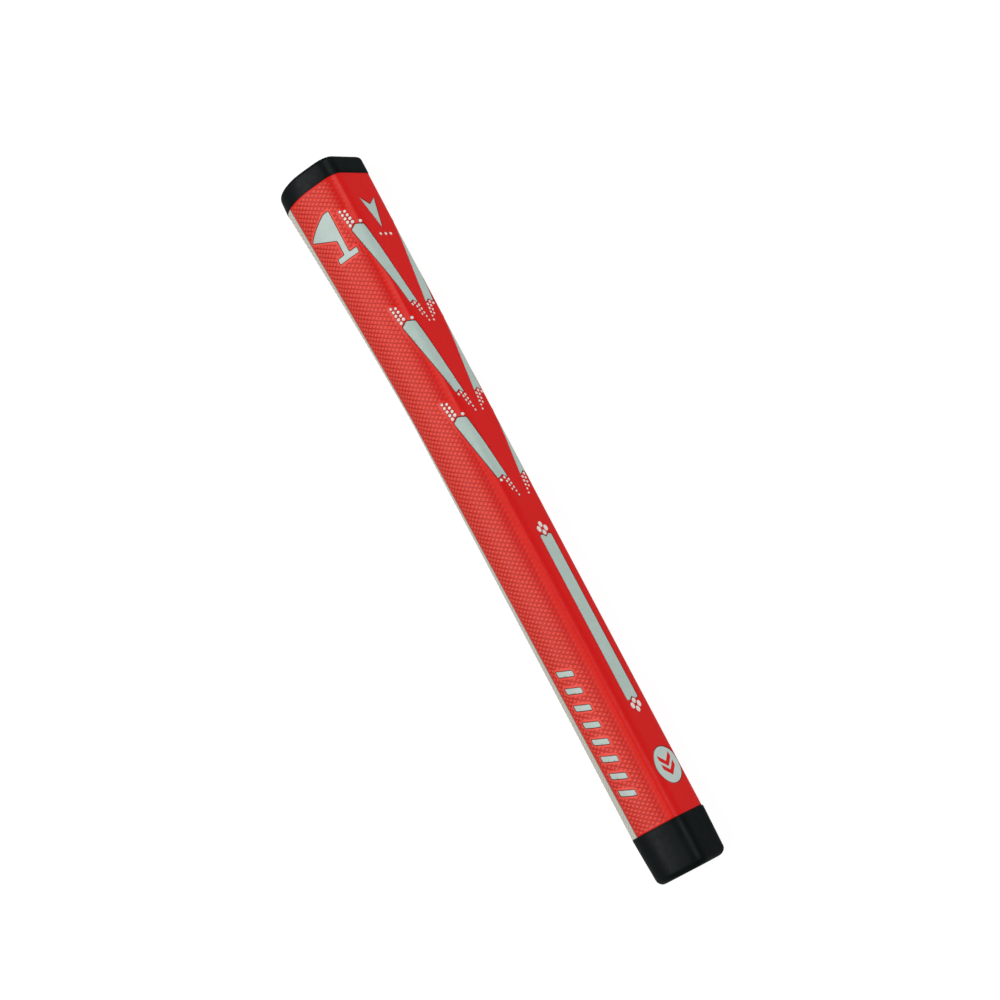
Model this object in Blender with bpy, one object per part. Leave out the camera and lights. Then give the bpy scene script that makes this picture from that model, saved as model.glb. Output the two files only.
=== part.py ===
"""Putter grip: a foam core with a shaft bore, felt, a skin in two panels, paint-fill inlays and two caps.

The grip lies on its side. +X runs along the shaft bore towards the butt, -Y is the way the flat front
faces and +Z is up. The origin is under the middle of the grip, level with the lowest line of the butt cap.
Every mesh is made in grip coordinates (x from the tip end, y from the flat front towards the back, z across)
and is parented to one empty that sets the grip down on its side.
"""
import math

import bmesh
import bpy

MM = 0.001
GAP = 0.3 * MM                  # clearance between pieces that are glued or pressed together
SHARP_ANGLE = math.radians(35.0)          # edges that turn more than this are shaded as corners

# Overall sizes
LENGTH = 267.0 * MM             # tip end to butt end
TIP_WIDTH = 21.5 * MM
BUTT_WIDTH = 26.7 * MM
TIP_DEPTH = 24.1 * MM           # flat front to rounded back
BUTT_DEPTH = 30.3 * MM
PISTOL_START = 172.0 * MM       # where the back starts to swell towards the butt
SWELL_POWER = 1.35

# Outline of the cross-section: a flat front, eased corners, nearly flat sides and a superelliptic back
FLAT_PART = 0.52                # width of the flat, as a part of the whole width
CORNER_DEPTH = 0.15             # depth where a corner meets the side, as a part of the whole depth
CORNER_PULL = 0.65              # how tightly the corner turns
WIDEST_PART = 0.45              # depth of the widest line, as a part of the whole depth
SIDE_DROP = 0.6                 # how much the sides draw in from the widest line
SIDE_POWER = 1.6
BACK_POWER = 1.92
FLAT_END = 0.18                 # outline parameter at the end of the flat
CORNER_END = 0.36               # outline parameter where the corner meets the side
SIDE_END = 0.58                 # outline parameter at the widest line
OUTLINE = [0.0, 0.09, 0.18, 0.21, 0.24, 0.27, 0.3, 0.33, 0.36, 0.43, 0.5, 0.58, 0.64, 0.7, 0.755, 0.81, 0.87,
           0.935, 1.0]
SEAM_REACH = (26.0 * MM, 33.8 * MM)       # front's middle line round to the seam, at the tip and the butt
FRONT_COLUMNS = 0.64            # the front panel keeps the outline's points up to here
BACK_COLUMNS = 0.87             # and the back strip from here

# Layers, as distances in from the outer surface
SKIN = 1.2 * MM
FELT = 0.6 * MM
FELT_TOP = SKIN + GAP
CORE_TOP = FELT_TOP + FELT + GAP
STATIONS = 15                   # cross-sections along a layer
RIM_RINGS = 5                   # cross-sections round a cap's edge
ARC_STEPS = 200                 # straight steps that measure a distance round the surface

# Shaft bore
SHAFT_DEPTH = 12.4 * MM         # bore axis behind the flat front
BORE_RADIUS = 7.37 * MM         # for a 0.580 inch putter shaft
VENT_RADIUS = 1.5 * MM

# Tip cap: a rubber cup over the nose of the core
TIP_BAND = 16.8 * MM
TIP_PROUD = 0.35 * MM
TIP_ROUND = 2.4 * MM
TIP_SUNK = 0.3 * MM             # how much lower its back lies all along
TIP_TAPER = (0.35 * MM, 0.8 * MM)         # how much it draws in towards its end, in front and at the back
BACK_RANGE = (0.58, 0.85)       # outline parameters between which a cap's front turns into its back
TIP_WALL = 1.6 * MM
TIP_END_WALL = 3.0 * MM

# Butt cap: a rubber disc with a plug in the bore
BUTT_BAND = 6.6 * MM
BUTT_PROUD = 0.15 * MM
BUTT_ROUND = 1.5 * MM
BUTT_SUNK = 0.1 * MM
BUTT_TAPER = (0.0, 0.8 * MM)
PLUG_LENGTH = 9.0 * MM
RING_INSET = 1.9 * MM           # cap edge to the inlaid ring
RING_WIDTH = 0.9 * MM
RING_POCKET = 0.8 * MM

# Paint-fill inlays in shallow pockets of the skin
INLAY_TOP = 0.05 * MM
INLAY_BOTTOM = 0.45 * MM
POCKET_BOTTOM = INLAY_BOTTOM + GAP
CHEVRON_HEADS = (240.5 * MM, 202.5 * MM, 165.0 * MM)
CHEVRON_LENGTHS = (32.0 * MM, 29.0 * MM, 23.5 * MM)
CHEVRON_HEAD = (9.1 * MM, 14.2 * MM)      # arm's edges at its head, along the surface from the centre line
CHEVRON_TAIL = 2.5 * MM                   # inner edge of the first arm at its tail
CHEVRON_TAIL_STEP = 0.8 * MM              # how much further out each next arm ends
CHEVRON_TAIL_WIDTH = 5.0 * MM
CHEVRON_ROWS = 6
CHEVRON_COLUMNS = 7
STRIPE_RANGE = (57.0 * MM, 119.5 * MM)
STRIPE_HALF_WIDTH = 3.5 * MM
FLAT_ROWS = 3                             # rows and columns of points in a plate that lies on the flat
FLAT_COLUMNS = 5
EMBLEM_CENTRE = 33.5 * MM
EMBLEM_RADII = (6.5 * MM, 7.3 * MM)       # along the grip and round the surface
EMBLEM_FIRST_TURN = math.radians(14.4)    # the ends are cut short here, so that no edge is a point
EMBLEM_ROWS = 13
EMBLEM_COLUMNS = 9
BADGE_RANGE = (238.0 * MM, 250.0 * MM)    # arrowhead on the flat near the butt, its point towards the tip
BADGE_HALF_WIDTH = 4.3 * MM
BADGE_POINT = 0.12              # width of the arrowhead's blunt point, as a part of its whole width
FLAG_FOOT = 232.0 * MM                    # foot of the flag on each side, with its pole along the grip
FLAG_TOP = 250.0 * MM
FLAG_ARC = 19.5 * MM                      # the pole's middle line, along the surface from the centre line
FLAG_POLE = 2.3 * MM
FLAG_BASE = (2.1 * MM, 8.6 * MM)          # the bar under the pole: along and round the grip
FLAG_CLOTH = (10.5 * MM, 10.8 * MM)       # the pennant: along the pole and away from it
FLAG_STEP = 0.02 * MM                     # length over which the flag's outline steps in or out
CLOTH_ROWS = 7
FLAG_COLUMNS = 10
BAR_COUNT = 8                             # slanted bars in a row on each side near the tip
BAR_START = 29.0 * MM
BAR_PITCH = 6.2 * MM
BAR_WIDTH = 2.2 * MM
BAR_ARCS = (17.4 * MM, 23.8 * MM)
BAR_SLANT = 0.35
BAR_COLUMNS = 5


def clear_scene():
    for old in list(bpy.data.objects):
        bpy.data.objects.remove(old, do_unlink=True)


def material(name, colour, roughness, metallic=0.0):
    made = bpy.data.materials.new(name)
    made.use_nodes = True
    shader = made.node_tree.nodes["Principled BSDF"]
    shader.inputs["Base Color"].default_value = (*colour, 1.0)
    shader.inputs["Roughness"].default_value = roughness
    shader.inputs["Metallic"].default_value = metallic
    return made


# ---------------------------------------------------------------- the outer shape

def swell(x, low, high, start):
    """A size that stays at low up to start and then grows to high at the butt."""
    part = max(0.0, (x - start) / (LENGTH - start))
    return low + (high - low) * part ** SWELL_POWER


def width(x):
    return swell(x, TIP_WIDTH, BUTT_WIDTH, 0.0)


def depth(x):
    return swell(x, TIP_DEPTH, BUTT_DEPTH, PISTOL_START)


def side_across(deep):
    return 1.0 - SIDE_DROP * (WIDEST_PART - deep) ** SIDE_POWER


def corner_point(part):
    """A cubic curve that leaves the flat and meets the side, each at its own slope."""
    end = side_across(CORNER_DEPTH)
    slope = SIDE_DROP * SIDE_POWER * (WIDEST_PART - CORNER_DEPTH) ** (SIDE_POWER - 1.0)
    meeting = end - slope * CORNER_DEPTH
    first = FLAT_PART + CORNER_PULL * (meeting - FLAT_PART)
    second = end + CORNER_PULL * (meeting - end)
    rest = 1.0 - part
    near = rest ** 3 * FLAT_PART + 3.0 * rest ** 2 * part * first
    far = 3.0 * rest * part ** 2 * second + part ** 3 * end
    return near + far, CORNER_DEPTH * (3.0 * rest * part ** 2 * (1.0 - CORNER_PULL) + part ** 3)


def outline_point(q):
    """Half the outline, q from 0 at the front's middle to 1 at the back's: (across, deep) in parts of 1."""
    if q <= FLAT_END:
        return FLAT_PART * q / FLAT_END, 0.0
    if q <= CORNER_END:
        return corner_point((q - FLAT_END) / (CORNER_END - FLAT_END))
    if q <= SIDE_END:
        deep = CORNER_DEPTH + (q - CORNER_END) / (SIDE_END - CORNER_END) * (WIDEST_PART - CORNER_DEPTH)
        return side_across(min(deep, WIDEST_PART)), deep
    turn = (q - SIDE_END) / (1.0 - SIDE_END) * math.pi / 2.0
    across = max(0.0, math.cos(turn)) ** (2.0 / BACK_POWER)
    return across, WIDEST_PART + (1.0 - WIDEST_PART) * math.sin(turn) ** (2.0 / BACK_POWER)


def surface(x, q, inset):
    """The point at outline parameter q (negative on the underside), at inset below the outer surface."""
    across, deep = outline_point(min(abs(q), 1.0))
    z = math.copysign(across * (width(x) / 2.0 - inset), q)
    return (x, inset + deep * (depth(x) - 2.0 * inset), z)


def parameter_at(x, arc):
    """The outline parameter at a distance arc along the outer surface from the front's centre line."""
    steps = ARC_STEPS
    gone = 0.0
    last = surface(x, 0.0, 0.0)
    for i in range(1, steps + 1):
        point = surface(x, i / steps, 0.0)
        step = math.dist(last, point)
        if gone + step >= abs(arc):
            return math.copysign((i - 1 + (abs(arc) - gone) / step) / steps, arc)
        gone += step
        last = point
    return math.copysign(1.0, arc)


def seam(x):
    """Distance round the surface from the front's centre line to the seam between the two skins."""
    return swell(x, *SEAM_REACH, 0.0)


# ---------------------------------------------------------------- rings and solids

def section_ring(x, inset):
    """A whole outline, from the back's centre line round the upper side and back along the underside."""
    upper = [surface(x, q, inset) for q in reversed(OUTLINE)]
    lower = [surface(x, -q, inset) for q in OUTLINE[1:-1]]
    return upper + lower


def round_ring(x, radius):
    """A circle about the bore axis whose points face those of section_ring."""
    ring = []
    for _, y, z in section_ring(LENGTH / 2.0, 0.0):
        away = math.hypot(y - SHAFT_DEPTH, z)
        ring.append((x, SHAFT_DEPTH + (y - SHAFT_DEPTH) * radius / away, z * radius / away))
    return ring


def finish(name, mesh, look, root):
    bmesh.ops.recalc_face_normals(mesh, faces=mesh.faces)
    data = bpy.data.meshes.new(name)
    mesh.to_mesh(data)
    mesh.free()
    data.shade_smooth()
    data.set_sharp_from_angle(angle=SHARP_ANGLE)
    made = bpy.data.objects.new(name, data)
    made.data.materials.append(look)
    made.parent = root
    bpy.context.collection.objects.link(made)
    return made


def ring_solid(name, rings, look, root):
    """A solid with a hole through it: each ring is joined to the next, and the last to the first."""
    mesh = bmesh.new()
    rows = [[mesh.verts.new(point) for point in ring] for ring in rings]
    count = len(rows[0])
    for i, row in enumerate(rows):
        after = rows[(i + 1) % len(rows)]
        for j in range(count):
            k = (j + 1) % count
            mesh.faces.new((row[j], row[k], after[k], after[j]))
    return finish(name, mesh, look, root)


def plate_solid(name, top, bottom, look, root):
    """A thin solid between two grids of points of the same size, with walls round its edge."""
    mesh = bmesh.new()
    upper = [[mesh.verts.new(point) for point in row] for row in top]
    lower = [[mesh.verts.new(point) for point in row] for row in bottom]
    rows = len(upper)
    columns = len(upper[0])
    for grid in (upper, lower):
        for i in range(rows - 1):
            for j in range(columns - 1):
                mesh.faces.new((grid[i][j], grid[i][j + 1], grid[i + 1][j + 1], grid[i + 1][j]))
    for i in range(rows - 1):
        for j in (0, columns - 1):
            mesh.faces.new((upper[i][j], upper[i + 1][j], lower[i + 1][j], lower[i][j]))
    for j in range(columns - 1):
        for i in (0, rows - 1):
            mesh.faces.new((upper[i][j], upper[i][j + 1], lower[i][j + 1], lower[i][j]))
    return finish(name, mesh, look, root)


def spaced(start, end, count):
    return [start + (end - start) * i / (count - 1) for i in range(count)]


# ---------------------------------------------------------------- core, felt and skin

SKIN_START = TIP_BAND + GAP
SKIN_END = LENGTH - BUTT_BAND - GAP


def make_core(root):
    """Foam core: a nose inside the tip cap, then the full section, with the shaft bore right through."""
    look = material("eva_foam", (0.05, 0.05, 0.055), 0.9)
    nose = TIP_END_WALL + GAP
    nose_inset = TIP_WALL + GAP
    rings = [section_ring(nose, nose_inset), section_ring(TIP_BAND, nose_inset)]
    rings += [section_ring(TIP_BAND, CORE_TOP)]
    rings += [section_ring(x, CORE_TOP) for x in spaced(SKIN_START, SKIN_END, STATIONS)]
    rings += [round_ring(SKIN_END, BORE_RADIUS), round_ring(nose, BORE_RADIUS)]
    ring_solid("foam_core", rings, look, root)


def make_felt(root):
    """Felt that backs the skin all round, between the skin and the foam."""
    look = material("felt", (0.55, 0.55, 0.53), 1.0)
    places = spaced(SKIN_START, SKIN_END, STATIONS)
    outer = [section_ring(x, FELT_TOP) for x in places]
    inner = [section_ring(x, FELT_TOP + FELT) for x in reversed(places)]
    ring_solid("felt_backing", outer + inner, look, root)


def make_panel(name, parameters, look, root):
    """One panel of the skin; parameters(x) gives the outline parameters across it."""
    places = spaced(SKIN_START, SKIN_END, STATIONS)
    top = [[surface(x, q, 0.0) for q in parameters(x)] for x in places]
    bottom = [[surface(x, q, SKIN) for q in parameters(x)] for x in places]
    return plate_solid(name, top, bottom, look, root)


def make_front_panel(root):
    """Coloured skin over the flat front and both sides."""
    look = material("red_skin", (0.62, 0.02, 0.018), 0.5)

    def across(x):
        edge = parameter_at(x, seam(x))
        half = [q for q in OUTLINE if q <= FRONT_COLUMNS] + [(FRONT_COLUMNS + edge) / 2.0, edge]
        return [-q for q in reversed(half)] + half[1:]

    return make_panel("front_panel", across, look, root)


def make_back_strip(root):
    """Pale skin over the rounded back, a gap away from the coloured panel on each side."""
    look = material("pale_skin", (0.5, 0.56, 0.54), 0.55)

    def across(x):
        edge = parameter_at(x, seam(x) + GAP)
        half = [edge, (BACK_COLUMNS + edge) / 2.0] + [q for q in OUTLINE if q >= BACK_COLUMNS]
        return half + [-q for q in reversed(half[:-1])]

    make_panel("back_strip", across, look, root)


# ---------------------------------------------------------------- caps

def rounded_rim(end, inward, radius, proud, section):
    """Rings of a rounded edge, from the end face out to the side; inward is 1 or -1, the way in."""
    rings = []
    for turn in spaced(math.pi / 2.0, 0.0, RIM_RINGS):
        x = end + inward * radius * (1.0 - math.sin(turn))
        rings.append(section(x, radius * (1.0 - math.cos(turn)) - proud))
    return rings


def drawn_in(x, inset, sunk, taper, grown):
    """A section of a cap; grown is the part of the taper that is reached at x."""
    ring = []
    for q in [*reversed(OUTLINE), *(-q for q in OUTLINE[1:-1])]:
        back = min(1.0, max(0.0, (abs(q) - BACK_RANGE[0]) / (BACK_RANGE[1] - BACK_RANGE[0])))
        more = sunk * back + grown * (taper[0] + (taper[1] - taper[0]) * back)
        ring.append(surface(x, q, inset + more))
    return ring


def tip_ring(x, inset):
    return drawn_in(x, inset, TIP_SUNK, TIP_TAPER, 1.0 - x / TIP_BAND)


def butt_ring(x, inset):
    return drawn_in(x, inset, BUTT_SUNK, BUTT_TAPER, 1.0 - (LENGTH - x) / BUTT_BAND)


def make_tip_cap(root):
    """Rubber cup with a round opening for the shaft; the nose of the core fills it."""
    look = material("tip_rubber", (0.006, 0.009, 0.010), 0.45)
    rings = [round_ring(TIP_END_WALL, BORE_RADIUS), round_ring(0.0, BORE_RADIUS)]
    rings += rounded_rim(0.0, 1.0, TIP_ROUND, TIP_PROUD, tip_ring)
    rings += [tip_ring(TIP_BAND, -TIP_PROUD), section_ring(TIP_BAND, TIP_WALL)]
    rings += [section_ring(TIP_END_WALL, TIP_WALL)]
    ring_solid("tip_cap", rings, look, root)


def make_butt_cap(root):
    """Rubber cap with a pocket for the ring, a plug that fills the bore's end, and a vent through both."""
    look = material("butt_rubber", (0.006, 0.009, 0.010), 0.45)
    under = LENGTH - BUTT_BAND
    groove = (RING_INSET - GAP, RING_INSET + RING_WIDTH + GAP)
    rings = [round_ring(under - PLUG_LENGTH, VENT_RADIUS), round_ring(LENGTH, VENT_RADIUS)]
    rings += [butt_ring(LENGTH, groove[1]), butt_ring(LENGTH - RING_POCKET, groove[1])]
    rings += [butt_ring(LENGTH - RING_POCKET, groove[0]), butt_ring(LENGTH, groove[0])]
    rings += rounded_rim(LENGTH, -1.0, BUTT_ROUND, BUTT_PROUD, butt_ring)
    rings += [butt_ring(under, -BUTT_PROUD)]
    rings += [round_ring(under, BORE_RADIUS - GAP), round_ring(under - PLUG_LENGTH, BORE_RADIUS - GAP)]
    ring_solid("butt_cap", rings, look, root)


def make_cap_ring(root):
    """Grey ring let into the face of the butt cap."""
    look = material("ring_paint", (0.19, 0.21, 0.19), 0.5)
    top = LENGTH - INLAY_TOP
    bottom = LENGTH - RING_POCKET + GAP
    corners = ((top, RING_INSET), (top, RING_INSET + RING_WIDTH),
               (bottom, RING_INSET + RING_WIDTH), (bottom, RING_INSET))
    ring_solid("cap_ring", [butt_ring(x, inset) for x, inset in corners], look, root)


# ---------------------------------------------------------------- inlays

def inlay_plate(name, places, edges, top, bottom, columns, slant, look, root):
    """A plate that follows the surface; edges(x) gives its two sides as arcs, and slant shears it along x."""
    grids = []
    for inset in (top, bottom):
        grid = []
        for x in places:
            row = []
            for arc in spaced(*edges(x), columns):
                along = x + slant * abs(arc)
                row.append(surface(along, parameter_at(along, arc), inset))
            grid.append(row)
        grids.append(grid)
    return plate_solid(name, grids[0], grids[1], look, root)


def add_inlay(name, places, edges, columns, look, panel, root, slant=0.0):
    """An inlay and the pocket that holds it, a gap wider and deeper all round."""
    inlay_plate(name, places, edges, INLAY_TOP, INLAY_BOTTOM, columns, slant, look, root)

    def wider(x):
        low, high = edges(min(max(x, places[0]), places[-1]))
        return low - GAP, high + GAP

    stretched = [places[0] - GAP] + places[1:-1] + [places[-1] + GAP]
    cutter = inlay_plate(name + "_cutter", stretched, wider, -GAP, POCKET_BOTTOM, columns, slant, look, root)
    cutter.hide_render = True
    cutter.display_type = "WIRE"
    cut = panel.modifiers.new(name + "_pocket", "BOOLEAN")
    cut.operation = "DIFFERENCE"
    cut.solver = "EXACT"
    cut.object = cutter


def make_chevrons(look, panel, root):
    """Three V marks, each of two tapering arms that run from the sides over the corners on to the flat."""
    for number, (head, length) in enumerate(zip(CHEVRON_HEADS, CHEVRON_LENGTHS), 1):
        tail = head - length
        inner_tail = CHEVRON_TAIL + CHEVRON_TAIL_STEP * (number - 1)
        for side, label in ((1.0, "upper"), (-1.0, "lower")):
            def edges(x, side=side, inner_tail=inner_tail, tail=tail, length=length):
                part = (x - tail) / length
                inner = inner_tail + (CHEVRON_HEAD[0] - inner_tail) * part
                outer_tail = inner_tail + CHEVRON_TAIL_WIDTH
                outer = outer_tail + (CHEVRON_HEAD[1] - outer_tail) * part
                return tuple(sorted((side * inner, side * outer)))

            places = spaced(tail, head, CHEVRON_ROWS)
            add_inlay(f"chevron_{number}_{label}", places, edges, CHEVRON_COLUMNS, look, panel, root)


def make_stripe(look, panel, root):
    """Straight alignment stripe along the middle of the flat."""
    sides = (-STRIPE_HALF_WIDTH, STRIPE_HALF_WIDTH)
    places = spaced(*STRIPE_RANGE, FLAT_ROWS)
    add_inlay("alignment_stripe", places, lambda x: sides, FLAT_COLUMNS, look, panel, root)


def make_emblem(look, panel, root):
    """Round plain emblem on the flat near the tip."""
    along, around = EMBLEM_RADII
    turns = spaced(EMBLEM_FIRST_TURN, math.pi - EMBLEM_FIRST_TURN, EMBLEM_ROWS)
    places = [EMBLEM_CENTRE - along * math.cos(turn) for turn in turns]

    def edges(x):
        half = around * math.sqrt(max(0.0, 1.0 - ((x - EMBLEM_CENTRE) / along) ** 2))
        return -half, half

    add_inlay("round_emblem", places, edges, EMBLEM_COLUMNS, look, panel, root)


def make_badge(look, panel, root):
    """Arrowhead on the flat near the butt."""
    def edges(x):
        part = (x - BADGE_RANGE[0]) / (BADGE_RANGE[1] - BADGE_RANGE[0])
        half = BADGE_HALF_WIDTH * (BADGE_POINT + (1.0 - BADGE_POINT) * part)
        return -half, half

    add_inlay("front_badge", spaced(*BADGE_RANGE, FLAT_ROWS), edges, FLAT_COLUMNS, look, panel, root)


def make_flags(look, panel, root):
    """A golf flag on each side near the butt: a bar, a pole along the grip and a pennant at its top."""
    base_top = FLAG_FOOT + FLAG_BASE[0]
    cloth_foot = FLAG_TOP - FLAG_CLOTH[0]
    places = [FLAG_FOOT, base_top, base_top + FLAG_STEP, cloth_foot]
    places += spaced(cloth_foot + FLAG_STEP, FLAG_TOP, CLOTH_ROWS)
    for side, label in ((1.0, "upper"), (-1.0, "lower")):
        def edges(x, side=side):
            near = FLAG_ARC - FLAG_POLE / 2.0
            far = FLAG_ARC + FLAG_POLE / 2.0
            if x <= base_top:
                near = FLAG_ARC - FLAG_BASE[1] / 2.0
                far = FLAG_ARC + FLAG_BASE[1] / 2.0
            if x > cloth_foot:
                middle = abs(2.0 * (x - cloth_foot) / FLAG_CLOTH[0] - 1.0)
                far += FLAG_CLOTH[1] * (1.0 - middle)
            return tuple(sorted((side * near, side * far)))

        add_inlay(f"side_flag_{label}", places, edges, FLAG_COLUMNS, look, panel, root)


def make_bars(look, panel, root):
    """A row of slanted bars on each side near the tip."""
    for number in range(BAR_COUNT):
        start = BAR_START + BAR_PITCH * number - BAR_SLANT * BAR_ARCS[0]
        for side, label in ((1.0, "upper"), (-1.0, "lower")):
            arcs = tuple(sorted((side * BAR_ARCS[0], side * BAR_ARCS[1])))
            places = [start, start + BAR_WIDTH / 2.0, start + BAR_WIDTH]
            name = f"side_bar_{number + 1}_{label}"
            add_inlay(name, places, lambda x, arcs=arcs: arcs, BAR_COLUMNS, look, panel, root, BAR_SLANT)


def main():
    clear_scene()
    root = bpy.data.objects.new("grip_frame", None)
    bpy.context.collection.objects.link(root)
    deepest = depth(LENGTH - BUTT_BAND) + BUTT_PROUD - BUTT_SUNK
    middle_depth = (deepest - TIP_PROUD) / 2.0
    root.location = (-LENGTH / 2.0, -middle_depth, BUTT_WIDTH / 2.0 + BUTT_PROUD)
    make_core(root)
    make_felt(root)
    panel = make_front_panel(root)
    make_back_strip(root)
    make_tip_cap(root)
    make_butt_cap(root)
    make_cap_ring(root)
    paint = material("pale_paint", (0.42, 0.52, 0.49), 0.5)
    make_chevrons(paint, panel, root)
    make_stripe(paint, panel, root)
    make_emblem(paint, panel, root)
    make_badge(paint, panel, root)
    make_flags(paint, panel, root)
    make_bars(paint, panel, root)
    bpy.context.view_layer.update()


main()
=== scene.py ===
"""Looks of a putter grip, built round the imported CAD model.

Every surface is worked out in grip coordinates, all in millimetres: x from the tip end, w round the surface
from the middle line of the flat front (positive on the upper side), and a height above the outer surface.
"""
import math

import bpy
import numpy as np
from mathutils import Matrix, Vector, kdtree
from mathutils.geometry import delaunay_2d_cdt


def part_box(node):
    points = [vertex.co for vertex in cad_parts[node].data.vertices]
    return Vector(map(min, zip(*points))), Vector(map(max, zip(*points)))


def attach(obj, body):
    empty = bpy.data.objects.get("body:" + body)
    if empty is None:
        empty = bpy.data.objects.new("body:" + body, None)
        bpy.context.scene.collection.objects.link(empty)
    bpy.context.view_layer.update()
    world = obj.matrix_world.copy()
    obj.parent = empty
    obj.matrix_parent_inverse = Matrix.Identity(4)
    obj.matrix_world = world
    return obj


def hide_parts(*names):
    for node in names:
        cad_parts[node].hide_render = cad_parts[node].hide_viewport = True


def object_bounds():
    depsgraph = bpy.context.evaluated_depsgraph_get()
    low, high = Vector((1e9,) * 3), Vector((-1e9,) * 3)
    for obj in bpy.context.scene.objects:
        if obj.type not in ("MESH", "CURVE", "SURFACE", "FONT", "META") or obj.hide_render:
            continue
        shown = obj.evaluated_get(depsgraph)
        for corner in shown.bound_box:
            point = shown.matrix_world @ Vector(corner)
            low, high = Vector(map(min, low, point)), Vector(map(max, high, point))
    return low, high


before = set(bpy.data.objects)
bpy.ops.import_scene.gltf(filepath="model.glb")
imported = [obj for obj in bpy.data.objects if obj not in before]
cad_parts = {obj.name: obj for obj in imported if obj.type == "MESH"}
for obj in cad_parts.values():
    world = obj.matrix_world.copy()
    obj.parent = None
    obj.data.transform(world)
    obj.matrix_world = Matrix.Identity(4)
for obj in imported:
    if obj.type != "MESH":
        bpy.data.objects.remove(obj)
CAD_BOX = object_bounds()

MM = 0.001

# Overall shape, as in the CAD source
LENGTH = (CAD_BOX[1].x - CAD_BOX[0].x) / MM
TIP_WIDTH = 21.5
BUTT_WIDTH = 26.7
TIP_DEPTH = 24.1
BUTT_DEPTH = 30.3
PISTOL_START = 172.0
SWELL_POWER = 1.35
FLAT_PART = 0.52
CORNER_DEPTH = 0.15
CORNER_PULL = 0.65
WIDEST_PART = 0.45
SIDE_DROP = 0.6
SIDE_POWER = 1.6
BACK_POWER = 1.92
FLAT_END = 0.18
CORNER_END = 0.36
SIDE_END = 0.58
SEAM_REACH = (26.0, 33.8)
SEAM_GAP = 0.06                  # what is left open between the two skins
SKIN = 1.2
GAP = 0.3
SHAFT_DEPTH = 12.4
BORE_RADIUS = 7.37
VENT_RADIUS = 1.5
TIP_BAND = 16.8
TIP_PROUD = 0.35
TIP_ROUND = 2.4
TIP_SUNK = 0.3
TIP_TAPER = (0.35, 0.8)
BACK_RANGE = (0.58, 0.85)
LIP = 0.45                       # how far a cap's lip reaches over the end of the skin
LIP_HEIGHT = 0.06
LIP_UNDERSIDE = -0.03
TIP_WALL = 1.6
TIP_END_WALL = 3.0
BUTT_BAND = 6.6
BUTT_PROUD = 0.15
BUTT_ROUND = 1.5
BUTT_SUNK = 0.1
BUTT_TAPER = (0.0, 0.8)
PLUG_LENGTH = 9.0
RING_INSET = 1.9
RING_WIDTH = 0.9
RING_POCKET = 0.8
RING_GAP = 0.12                  # open groove on each side of the ring
FACE_SUNK = 0.12                 # the butt's face lies this far below its rim
SKIN_START = TIP_BAND + GAP
SKIN_END = LENGTH - BUTT_BAND - GAP

PANEL_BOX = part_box("front_panel")
ORIGIN = np.array((CAD_BOX[0].x, PANEL_BOX[0].y, (PANEL_BOX[0].z + PANEL_BOX[1].z) / 2.0))

# Knurl: two families of grooves that leave diamonds
DIAMOND_ALONG = 1.724
DIAMOND_AROUND = 2.62
PER_DIAMOND = 6                  # mesh steps across a diamond
STEP_ALONG = DIAMOND_ALONG / PER_DIAMOND
STEP_AROUND = DIAMOND_AROUND / PER_DIAMOND
KNURL_DEPTH = 0.26
CORNER_RELIEF = (9.7, 10.8, 0.3)               # where the relief grows, and by how much
SIDE_RELIEF = (11.0, 13.4, 0.62)
CORNER_HIGHLIGHT = (9.7, 10.8, 0.3)                 # painted light on the diamonds: a highlight along the corner, a darker band after it and sheen over the side; where each grows, and by how much
CORNER_DARK_BAND = (11.6, 12.8, 0.22)
SIDE_SHEEN = (12.8, 17.0, 0.92)
TIP_REACH = 1.2                  # how much nearer to the flat that starts near the tip
TIP_RANGE = (60.0, 130.0)
FLAT_COLUMNS = 22                # columns each side of the middle that belong to the smooth flat
FLAT_ROWS = 3                    # mesh steps along one cell of the flat
FLAT_STEP = 4                    # mesh steps across one cell of the flat
GROOVE_SHARPNESS = 1.8           # a higher power makes the grooves narrower
BACK_RELIEF = 0.8                # the back strip's knurl, as a part of the full depth
MARK_FADE = (0.25, 1.0)          # distances from a mark between which the knurl sets in
RIM_FADE = (0.4, 1.1)            # and from a panel's rim

# Points and steps of the fitted meshes
OUTLINE_SAMPLE = 0.05            # spacing of the points that find the cells an outline cuts
RELIEF_SAMPLE = 0.1              # spacing of the points that measure the distance to a mark
BAND_REACH = 0.16                # cells this near an outline belong to its fitted band
NODE_CLEARANCE = 0.09            # lattice nodes nearer to an outline than this are left out
BORDER_MARGIN = 1.0
BORDER_STEP = 0.36
UNDERSIDE_STEP = (7.0, 4.0)
POCKET_STEP = (1.6, 1.2)
PLATE_STEP = (0.45, 0.45)
PLATE_UNDERSIDE_STEP = (2.0, 2.0)
FILL_CLEARANCE = 0.35            # part of a step that stays free along an outline
MITRE_LIMIT = 0.5                # keeps a moved corner from running far out
SAME_POINT = 1e-6                # points nearer than this are joined
TINY = 1e-9

# Angles, in degrees, above which an edge is shaded as a corner
SKIN_SHARP = 50.0
PAINT_SHARP = 60.0
CAP_SHARP = 35.0


# ---------------- the outer shape

def swell(x, low, high, start):
    part = np.maximum(0.0, (x - start) / (LENGTH - start))
    return low + (high - low) * part ** SWELL_POWER


def width(x):
    return swell(x, TIP_WIDTH, BUTT_WIDTH, 0.0)


def depth(x):
    return swell(x, TIP_DEPTH, BUTT_DEPTH, PISTOL_START)


def side_across(deep):
    return 1.0 - SIDE_DROP * np.maximum(0.0, WIDEST_PART - deep) ** SIDE_POWER


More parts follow.
